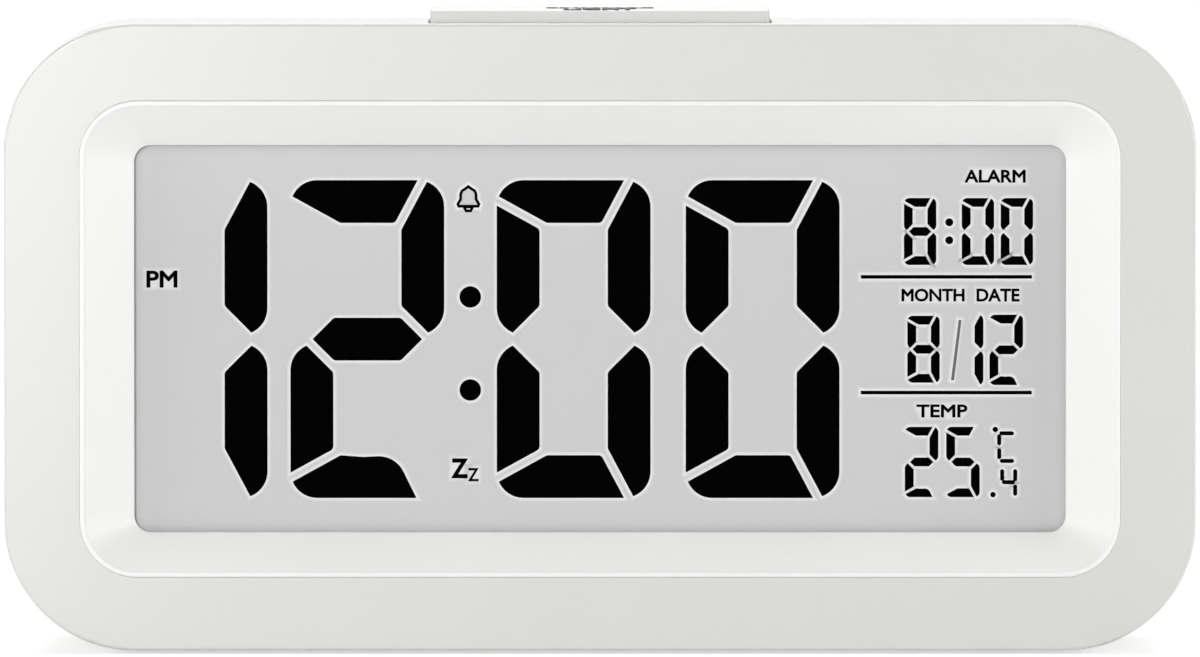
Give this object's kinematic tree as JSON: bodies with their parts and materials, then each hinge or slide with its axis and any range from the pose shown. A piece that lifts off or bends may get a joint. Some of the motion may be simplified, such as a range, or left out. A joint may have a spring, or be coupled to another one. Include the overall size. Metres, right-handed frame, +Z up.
{
  "type": "digital alarm clock",
  "caption": "Digital alarm clock in a rounded box housing with a large sloped display frame, a snooze bar on top, and push keys, a slide switch and a battery door behind.",
  "frame": {"origin": "on the table, under the middle of the clock", "axes": "+Z up, -Y out of the display towards the user, +X to the user's right"},
  "size_m": [0.135, 0.045, 0.073],
  "materials": {
    "white_housing": "satin moulded ABS",
    "white_frame": "satin moulded ABS",
    "button_plastic": "matt moulded ABS",
    "display_face": "grey polarizer film",
    "display_ink": "dark liquid crystal",
    "display_glass": "thin float glass",
    "light_guide": "polished acrylic",
    "film_white": "white reflector film",
    "board_green": "glass fibre board with green mask",
    "black_plastic": "black moulded plastic",
    "frame_black": "moulded holder",
    "steel": "plated steel",
    "foam_grey": "soft foam",
    "rubber_foot": "soft rubber",
    "elastomer": "layered connector rubber",
    "cell_jacket": "plain printed jacket",
    "lead_red": "insulated wire",
    "lead_black": "insulated wire",
    "ribbon_grey": "flat ribbon wire",
    "led_body": "light emitting diode"
  },
  "bodies": {
    "housing": {"front_shell": "white_housing", "bezel_insert": "white_frame", "lcd_gasket": "foam_grey", "lcd_segments": "display_ink", "front_polarizer": "display_face", "lcd_front_glass": "display_glass", "lcd_rear_glass": "display_glass", "rear_polarizer": "display_face", "light_guide": "light_guide", "reflector_film": "film_white", "backlight_leds": "led_body", "zebra_strip": "elastomer", "lcd_holder": "frame_black", "main_board": "board_green", "display_screws": "steel", "chip_cover": "black_plastic", "crystal": "steel", "capacitor": "black_plastic", "snooze_board": "board_green", "snooze_switch": "black_plastic", "snooze_board_screws": "steel", "snooze_ribbon": "ribbon_grey", "key_ribbon": "ribbon_grey", "rear_shell": "white_housing", "housing_screws": "steel", "key_switches": "black_plastic", "key_board": "board_green", "key_board_screws": "steel", "alarm_switch_body": "steel", "battery_springs": "steel", "positive_contact": "steel", "negative_contact": "steel", "bridge_contact_left": "steel", "bridge_contact_right": "steel", "battery_lead_red": "lead_red", "battery_lead_black": "lead_black", "speaker": "black_plastic", "speaker_leads": "lead_red", "temperature_sensor": "black_plastic", "lower_cell": "cell_jacket", "middle_cell": "cell_jacket", "upper_cell": "cell_jacket", "front_feet": "rubber_foot", "rear_feet": "rubber_foot"},
    "snooze_bar": {"snooze_button": "button_plastic", "snooze_plunger": "black_plastic"},
    "alarm_switch": {"alarm_switch_knob": "button_plastic"},
    "battery_cover": {"battery_door": "white_housing", "battery_door_latch": "white_housing"},
    "mode_key": {"mode_key": "button_plastic", "mode_key_plunger": "black_plastic"},
    "set_key": {"set_key": "button_plastic", "set_key_plunger": "black_plastic"},
    "up_key": {"up_key": "button_plastic", "up_key_plunger": "black_plastic"},
    "down_key": {"down_key": "button_plastic", "down_key_plunger": "black_plastic"}
  },
  "joints": [
    {"name": "snooze_press", "type": "slide", "parent": "housing", "child": "snooze_bar", "axis": [0, 0, -1], "range_m": [0, 0.0006], "stiffness_N_per_m": 900, "springref_m": -0.001},
    {"name": "mode_key_press", "type": "slide", "parent": "housing", "child": "mode_key", "axis": [0, -1, 0], "range_m": [0, 0.0005], "stiffness_N_per_m": 500, "springref_m": -0.001},
    {"name": "set_key_press", "type": "slide", "parent": "housing", "child": "set_key", "axis": [0, -1, 0], "range_m": [0, 0.0005], "stiffness_N_per_m": 500, "springref_m": -0.001},
    {"name": "up_key_press", "type": "slide", "parent": "housing", "child": "up_key", "axis": [0, -1, 0], "range_m": [0, 0.0005], "stiffness_N_per_m": 500, "springref_m": -0.001},
    {"name": "down_key_press", "type": "slide", "parent": "housing", "child": "down_key", "axis": [0, -1, 0], "range_m": [0, 0.0005], "stiffness_N_per_m": 500, "springref_m": -0.001},
    {"name": "alarm_switch_slide", "type": "slide", "parent": "housing", "child": "alarm_switch", "axis": [1, 0, 0], "range_m": [0, 0.002]},
    {"name": "battery_cover_hinge", "type": "hinge", "parent": "housing", "child": "battery_cover", "pos_m": [0, 0.02173, 0.008], "axis": [-1, 0, 0], "range_deg": [0, 75], "deforming": ["battery_door_latch"]}
  ]
}
